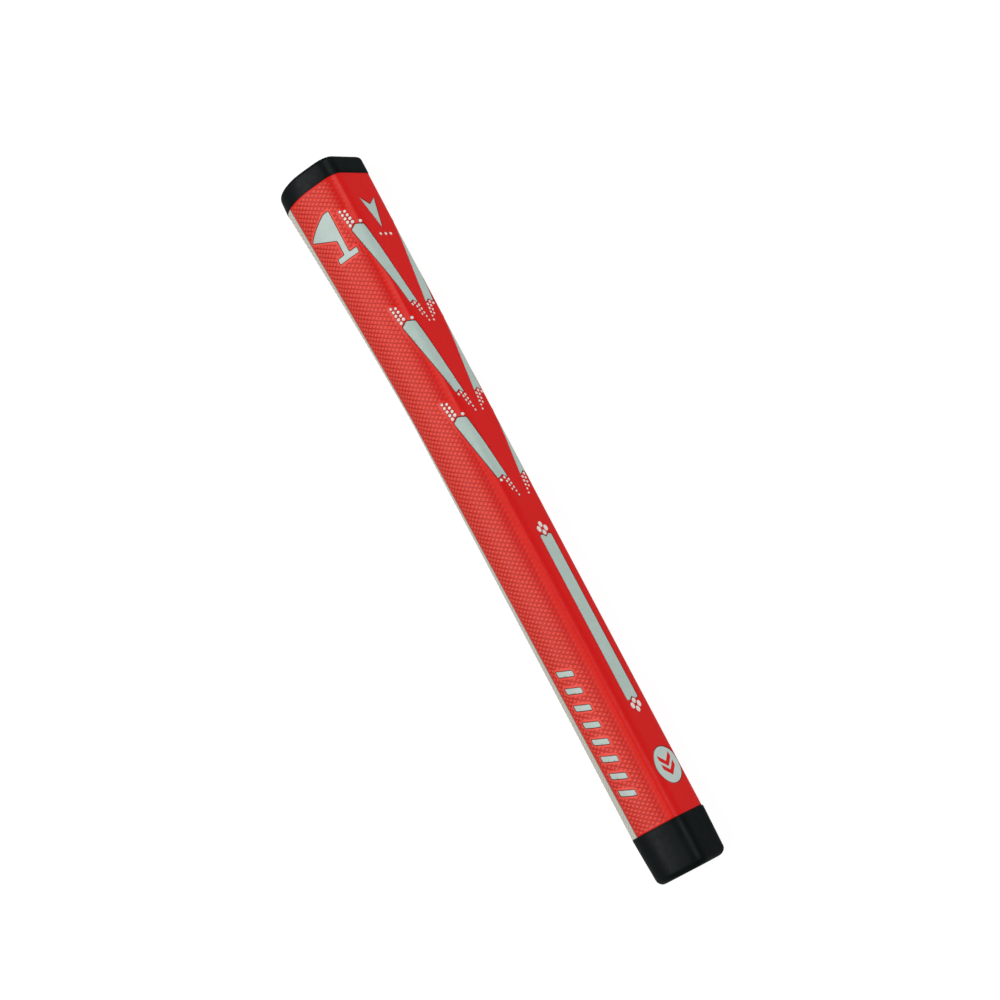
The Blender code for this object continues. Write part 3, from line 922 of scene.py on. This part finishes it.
def rounded(end, inward, radius, proud, outline):
    """Rings of a rounded edge, from the end face out to the side; inward is the way into the grip."""
    rings = []
    for turn in np.linspace(math.pi / 2.0, 0.0, EDGE_RINGS):
        x = end + inward * radius * (1.0 - math.sin(turn))
        rings.append(outline(x, proud - radius * (1.0 - math.cos(turn))))
    return rings


def loop_solid(name, rings, look, replaced):
    """A solid ring: each outline is joined to the next, and the last to the first."""
    points = to_world(np.vstack(rings))
    faces = []
    for r in range(len(rings)):
        n = (r + 1) % len(rings)
        for k in range(AROUND):
            m = (k + 1) % AROUND
            faces.append((r * AROUND + k, r * AROUND + m, n * AROUND + m, n * AROUND + k))
    data = bpy.data.meshes.new(name)
    data.from_pydata(points.tolist(), [], faces)
    return finished(name, data, look, replaced, CAP_SHARP)


def make_tip_cap(look):
    opening = [circle(TIP_END_WALL, BORE_RADIUS)]
    opening += [circle(x, BORE_RADIUS + wider) for x, wider in SHAFT_MOUTH]
    edge = rounded(0.0, 1.0, TIP_ROUND, TIP_PROUD, tip_section)
    end = TIP_BAND + LIP
    rings = opening + [between(opening[-1], edge[0], 0.5)] + edge
    rings += [tip_section(x, TIP_PROUD) for x in np.linspace(TIP_ROUND, TIP_BAND, TIP_RINGS)[1:]]
    rings += [section(end - TIP_LIP_SLOPE, LIP_HEIGHT), section(end, LIP_HEIGHT - LIP_DROP)]
    rings += [section(end, LIP_UNDERSIDE), section(TIP_BAND, LIP_UNDERSIDE)]
    rings += [section(TIP_BAND, -TIP_WALL), section(TIP_END_WALL, -TIP_WALL)]
    loop_solid("tip_cap", rings, look, ("tip_cap",))


def make_butt_cap(look):
    under = LENGTH - BUTT_BAND
    face = LENGTH - FACE_SUNK
    floor = LENGTH - RING_POCKET
    inner = -RING_INSET - RING_WIDTH - RING_GAP
    outer = -RING_INSET + RING_GAP
    vent = [circle(under - PLUG_LENGTH, VENT_RADIUS)]
    vent += [circle(face - deep, VENT_RADIUS + wider) for deep, wider in VENT_MOUTH]
    wall = butt_section(face, inner - EASE)
    rings = vent + [between(vent[-1], wall, part) for part in FACE_PARTS] + [wall]
    rings += [butt_section(face - EASE, inner), butt_section(floor, inner), butt_section(floor, outer)]
    rings += [butt_section(LENGTH - EASE, outer), butt_section(LENGTH, outer + EASE)]
    rings += rounded(LENGTH, -1.0, BUTT_ROUND, BUTT_PROUD, butt_section)
    rings += [butt_section(x, BUTT_PROUD) for x in np.linspace(LENGTH - BUTT_ROUND, under, BUTT_RINGS)[1:]]
    rings += [section(under - LIP + BUTT_LIP_SLOPE, LIP_HEIGHT), section(under - LIP, LIP_HEIGHT - LIP_DROP)]
    rings += [section(under - LIP, LIP_UNDERSIDE), section(under, LIP_UNDERSIDE)]
    rings += [circle(under, BORE_RADIUS - GAP), circle(under - PLUG_LENGTH, BORE_RADIUS - GAP)]
    loop_solid("butt_cap", rings, look, ("butt_cap",))


def make_cap_ring(look):
    top = LENGTH - RING_TOP
    bottom = LENGTH - RING_POCKET + RING_FLOOR_GAP
    inner = -RING_INSET - RING_WIDTH
    rings = [butt_section(bottom, inner), butt_section(top - RING_EASE, inner)]
    rings += [butt_section(top, inner + EASE), butt_section(top, -RING_INSET - EASE)]
    rings += [butt_section(top - RING_EASE, -RING_INSET), butt_section(bottom, -RING_INSET)]
    loop_solid("cap_ring", rings[::-1], look, ("cap_ring",))


def on_face(points):
    """(along the depth, across, height) on the butt's face, from the bore's axis, to the row frame."""
    y, z, height = points.T
    return to_world(np.stack((LENGTH - FACE_SUNK + height, SHAFT_DEPTH + y, z), -1))


def make_cap_mark(look):
    """Two plain chevrons on the butt's face, one each side of the vent."""
    solid = Solid()
    for tip in CAP_MARK_TIPS:
        plate(solid, plain_chevron(tip, *CAP_CHEVRON), CAP_MARK_RINGS)
    solid.make("cap_mark", on_face, look)


# ---------------- materials

RED_SKIN = (                     # the flat; the diamonds, paler with painted sheen; the grooves between them, darker with painted shade; the pockets, dark with painted shade
    (0.52, 0.002, 0.001), (0.685, 0.070, 0.049), (0.36, 0.008, 0.005), (0.13, 0.004, 0.003))
# the back strip in the same order: flat, diamonds with painted sheen, grooves with painted shade, painted
# shade for its rolled edge
PALE_SKIN = ((0.52, 0.51, 0.44), (0.62, 0.60, 0.52), (0.34, 0.34, 0.30), (0.08, 0.08, 0.07))
PALE_PAINT = ((0.31, 0.395, 0.36), (0.35, 0.43, 0.395))      # two shades that mix in patches
LIGHT_PAINT = ((0.355, 0.43, 0.40), (0.405, 0.475, 0.445))
DOT_PAINT = ((0.58, 0.50, 0.46), (0.66, 0.58, 0.54))
RING_PAINT = ((0.19, 0.21, 0.19), (0.23, 0.25, 0.23))
BLACK_RUBBER = ((0.0012, 0.0030, 0.0030), (0.004, 0.0075, 0.0075))
FOAM = ((0.018, 0.018, 0.02), (0.06, 0.06, 0.065))
FELT = ((0.42, 0.42, 0.40), (0.66, 0.66, 0.63))
PAINT_SPECULAR = 0.2
RUBBER_SPECULAR = 0.09
NOISE_SPREAD = (0.3, 0.7)        # most of a noise's values lie between these


def new_material(name):
    made = bpy.data.materials.new(name)
    made.use_nodes = True
    tree = made.node_tree
    return made, tree, tree.nodes["Principled BSDF"]


def node(tree, kind, inputs=None, **settings):
    made = tree.nodes.new(kind)
    for key, value in settings.items():
        setattr(made, key, value)
    for key, value in (inputs or {}).items():
        if isinstance(value, bpy.types.NodeSocket):
            tree.links.new(value, made.inputs[key])
        else:
            made.inputs[key].default_value = value
    return made


def noise(tree, scale, detail=3.0, roughness=0.5):
    where = node(tree, "ShaderNodeTexCoord").outputs["Object"]
    return node(tree, "ShaderNodeTexNoise", {"Vector": where, "Scale": scale, "Detail": detail,
                                             "Roughness": roughness}).outputs["Fac"]


def ranged(tree, value, low, high, new_low, new_high):
    limits = {"From Min": low, "From Max": high, "To Min": new_low, "To Max": new_high}
    return node(tree, "ShaderNodeMapRange", {"Value": value, **limits}).outputs["Result"]


def blended(tree, factor, first, second):
    made = node(tree, "ShaderNodeMix", data_type="RGBA")
    for socket, value in ((made.inputs[0], factor), (made.inputs[6], first), (made.inputs[7], second)):
        if isinstance(value, bpy.types.NodeSocket):
            tree.links.new(value, socket)
        else:
            socket.default_value = value
    return made.outputs[2]


def attribute(tree, name):
    return node(tree, "ShaderNodeAttribute", attribute_name=name).outputs["Fac"]


def grain(tree, shader, scale, distance, strength, coarse=None):
    """Fine bump, with a second coarser one under it if coarse gives its scale and distance."""
    normal = None
    if coarse:
        first = node(tree, "ShaderNodeBump", {"Height": noise(tree, coarse[0], 2.0), "Distance": coarse[1],
                                              "Strength": 0.6})
        normal = first.outputs["Normal"]
    second = node(tree, "ShaderNodeBump", {"Height": noise(tree, scale, 4.0, 0.6), "Distance": distance,
                                           "Strength": strength})
    if normal:
        tree.links.new(normal, second.inputs["Normal"])
    tree.links.new(second.outputs["Normal"], shader.inputs["Normal"])


def skin_material(name, flat, knurled, groove_shade, pit, roughness, specular):
    """Polyurethane skin: one colour on the smooth flat, a paler one on the diamonds for painted sheen, a
    darker one in the grooves for painted shade, and painted shade in the pockets and on the rolled edge.
    """
    made, tree, shader = new_material(name)
    groove = attribute(tree, "groove")
    power = attribute(tree, "knurl")
    # painted sheen: the diamonds take the paler colour as the knurl attribute grows
    side = blended(tree, power, (*flat, 1.0), (*knurled, 1.0))
    patches = ranged(tree, noise(tree, 90.0, 4.0, 0.6), *NOISE_SPREAD, 0.0, 0.16)
    side = blended(tree, patches, side, (flat[0] * 0.82, flat[1] * 0.75, flat[2] * 0.75, 1.0))
    # painted shade in the grooves, deepest where the grooves are deepest
    deep = ranged(tree, groove, 0.1, 0.9, 0.0, 1.0)
    colour = blended(tree, deep, side, (*groove_shade, 1.0))
    # painted shade in the pockets and, more faintly, on the rolled edge
    shade = blended(tree, attribute(tree, "pit"), colour, (*pit, 1.0))
    tree.links.new(shade, shader.inputs["Base Color"])
    rough = ranged(tree, noise(tree, 420.0, 3.0), *NOISE_SPREAD, roughness - 0.05, roughness + 0.07)
    tree.links.new(rough, shader.inputs["Roughness"])
    shader.inputs["Specular IOR Level"].default_value = specular
    grain(tree, shader, 5200.0, 0.00003, 0.35, (1100.0, 0.00004))
    return made


def paint_material(name, colour, shade, roughness):
    made, tree, shader = new_material(name)
    mottled = ranged(tree, noise(tree, 260.0, 4.0, 0.65), *NOISE_SPREAD, 0.0, 1.0)
    tree.links.new(blended(tree, mottled, (*colour, 1.0), (*shade, 1.0)), shader.inputs["Base Color"])
    rough = ranged(tree, noise(tree, 700.0), *NOISE_SPREAD, roughness - 0.06, roughness + 0.08)
    tree.links.new(rough, shader.inputs["Roughness"])
    shader.inputs["Specular IOR Level"].default_value = PAINT_SPECULAR
    grain(tree, shader, 6000.0, 0.00002, 0.3)
    return made


def rubber_material(name, colour, dusty, roughness):
    made, tree, shader = new_material(name)
    dust = ranged(tree, noise(tree, 150.0, 5.0, 0.7), 0.45, 0.8, 0.0, 0.5)
    tree.links.new(blended(tree, dust, (*colour, 1.0), (*dusty, 1.0)), shader.inputs["Base Color"])
    rough = ranged(tree, noise(tree, 500.0, 3.0), *NOISE_SPREAD, roughness - 0.05, roughness + 0.08)
    tree.links.new(rough, shader.inputs["Roughness"])
    shader.inputs["Specular IOR Level"].default_value = RUBBER_SPECULAR
    grain(tree, shader, 4200.0, 0.00003, 0.3)
    return made


def foam_material():
    made, tree, shader = new_material("eva_foam")
    where = node(tree, "ShaderNodeTexCoord").outputs["Object"]
    cells = node(tree, "ShaderNodeTexVoronoi", {"Vector": where, "Scale": 1800.0})
    shade = ranged(tree, cells.outputs["Distance"], 0.0, 0.6, 0.0, 1.0)
    colour = blended(tree, shade, (*FOAM[0], 1.0), (*FOAM[1], 1.0))
    tree.links.new(colour, shader.inputs["Base Color"])
    shader.inputs["Roughness"].default_value = 0.9
    bump = node(tree, "ShaderNodeBump", {"Height": shade, "Distance": 0.0001, "Strength": 0.7})
    tree.links.new(bump.outputs["Normal"], shader.inputs["Normal"])
    return made


def felt_material():
    made, tree, shader = new_material("felt")
    fibres = noise(tree, 2600.0, 6.0, 0.75)
    colour = blended(tree, fibres, (*FELT[0], 1.0), (*FELT[1], 1.0))
    tree.links.new(colour, shader.inputs["Base Color"])
    shader.inputs["Roughness"].default_value = 0.95
    shader.inputs["Sheen Weight"].default_value = 0.3
    bump = node(tree, "ShaderNodeBump", {"Height": fibres, "Distance": 0.0001, "Strength": 0.8})
    tree.links.new(bump.outputs["Normal"], shader.inputs["Normal"])
    return made


# ---------------- stage, lights and camera

FLOOR_HALF = 4.0
FLOOR_GREY = 0.12
FLOOR_GLOW = 0.93                # the floor's own light, which keeps it pale
WORLD_STRENGTH = 0.25
SOFTBOXES = (                    # name, way from the grip, distance, width and height, power
    ("front_softbox", (0.17, -0.84, 0.55), 1.4, (1.4, 0.6), 14.0),
    ("top_softbox", (0.17, 0.45, 0.88), 1.3, (1.4, 0.7), 16.0),
)


def make_stage():
    """A plain floor that touches the lowest line of each cap."""
    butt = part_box("butt_cap")
    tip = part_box("tip_cap")
    slope = (butt[0].z - tip[0].z) / ((butt[1].x - BUTT_ROUND * MM) - tip[1].x)
    level = tip[0].z - slope * tip[1].x
    corners = [(x * FLOOR_HALF, y * FLOOR_HALF, level + slope * x * FLOOR_HALF)
               for x, y in ((-1, -1), (1, -1), (1, 1), (-1, 1))]
    data = bpy.data.meshes.new("floor")
    data.from_pydata(corners, [], [(0, 1, 2, 3)])
    floor = bpy.data.objects.new("floor", data)
    bpy.context.scene.collection.objects.link(floor)
    look, tree, shader = new_material("floor_paper")
    shader.inputs["Base Color"].default_value = (FLOOR_GREY, FLOOR_GREY, FLOOR_GREY, 1.0)
    shader.inputs["Roughness"].default_value = 0.9
    shader.inputs["Specular IOR Level"].default_value = 0.1
    shader.inputs["Emission Color"].default_value = (1.0, 1.0, 1.0, 1.0)
    shader.inputs["Emission Strength"].default_value = FLOOR_GLOW
    data.materials.append(look)
    floor.visible_glossy = False


def area_light(name, towards, distance, size, power):
    aim = Vector((0.0, 0.0, BUTT_WIDTH / 2.0 * MM))
    lamp = bpy.data.lights.new(name, "AREA")
    lamp.shape = "RECTANGLE"
    lamp.size = size[0]
    lamp.size_y = size[1]
    lamp.energy = power
    made = bpy.data.objects.new(name, lamp)
    made.location = aim + Vector(towards).normalized() * distance
    made.rotation_euler = (aim - made.location).to_track_quat("-Z", "Y").to_euler()
    bpy.context.scene.collection.objects.link(made)


def make_lights():
    world = bpy.data.worlds.new("studio")
    world.use_nodes = True
    world.node_tree.nodes["Background"].inputs["Color"].default_value = (1.0, 1.0, 1.0, 1.0)
    world.node_tree.nodes["Background"].inputs["Strength"].default_value = WORLD_STRENGTH
    bpy.context.scene.world = world
    for softbox in SOFTBOXES:
        area_light(*softbox)


CAMERA_TILT = math.radians(31.06)      # how far the flat front turns up towards the camera
CAMERA_SWING = math.radians(9.67)      # how far the tip end turns towards the camera
CAMERA_ROLL = math.radians(62.15)      # slope of the grip in the picture, from the horizontal
CAMERA_DISTANCE = 0.7702
CAMERA_LENS = 83.0
CAMERA_SHIFT = (0.0007, 0.0129)
AIM_DEPTH = 12.0                       # depth behind the flat front of the point that the camera looks at


def make_camera():
    back = Vector((-math.sin(CAMERA_SWING), -math.sin(CAMERA_TILT) * math.cos(CAMERA_SWING),
                   math.cos(CAMERA_TILT) * math.cos(CAMERA_SWING)))
    tipwards = Vector((-1.0, 0.0, 0.0))
    tipwards = (tipwards - back * tipwards.dot(back)).normalized()
    frontwards = tipwards.cross(back)
    if frontwards.y > 0.0:
        frontwards = -frontwards
    right = tipwards * math.cos(CAMERA_ROLL) + frontwards * math.sin(CAMERA_ROLL)
    up = frontwards * math.cos(CAMERA_ROLL) - tipwards * math.sin(CAMERA_ROLL)
    aim = Vector(to_world(np.array((LENGTH / 2.0, AIM_DEPTH, 0.0))))
    lens = bpy.data.cameras.new("camera")
    lens.lens = CAMERA_LENS
    lens.sensor_width = 36.0
    lens.shift_x, lens.shift_y = CAMERA_SHIFT
    lens.clip_start = 0.01
    camera = bpy.data.objects.new("camera", lens)
    turn = Matrix((right, up, back)).transposed().to_4x4()
    camera.matrix_world = Matrix.Translation(aim + back * CAMERA_DISTANCE) @ turn
    bpy.context.scene.collection.objects.link(camera)
    bpy.context.scene.camera = camera


# ---------------- everything

def main():
    looks = {
        "red": skin_material("red_skin", *RED_SKIN, roughness=0.40, specular=0.13),
        "pale": skin_material("pale_skin", *PALE_SKIN, roughness=0.5, specular=0.2),
        "paint": paint_material("pale_paint", *PALE_PAINT, roughness=0.5),
        "light": paint_material("light_paint", *LIGHT_PAINT, roughness=0.5),
        "dots": paint_material("dot_paint", *DOT_PAINT, roughness=0.42),
        "ring": paint_material("ring_paint", *RING_PAINT, roughness=0.45),
        "rubber": rubber_material("black_rubber", *BLACK_RUBBER, roughness=0.42),
    }
    shapes = printed_shapes()

    def front_edge(x):
        return seam(x) + (GAP - SEAM_GAP) / 2.0

    def back_edge(x):
        return arc_of(x, 1.0) - seam(x) - (GAP + SEAM_GAP) / 2.0

    make_panel("front_panel", on_front, looks["red"], front_edge, Lattice(FLAT_COLUMNS),
               [loop for _, loop, _ in shapes], [dot for _, _, dots in shapes for dot in dots], True)
    make_panel("back_strip", on_back, looks["pale"], back_edge, Lattice(0), [], [], False)
    make_paint(shapes, looks)
    make_emblem_mark(looks["red"])
    make_tip_cap(looks["rubber"])
    make_butt_cap(looks["rubber"])
    make_cap_ring(looks["ring"])
    make_cap_mark(looks["ring"])
    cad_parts["foam_core"].material_slots[0].material = foam_material()
    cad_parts["felt_backing"].material_slots[0].material = felt_material()
    make_stage()
    make_lights()
    make_camera()
    bpy.context.scene.view_settings.view_transform = "Standard"


main()
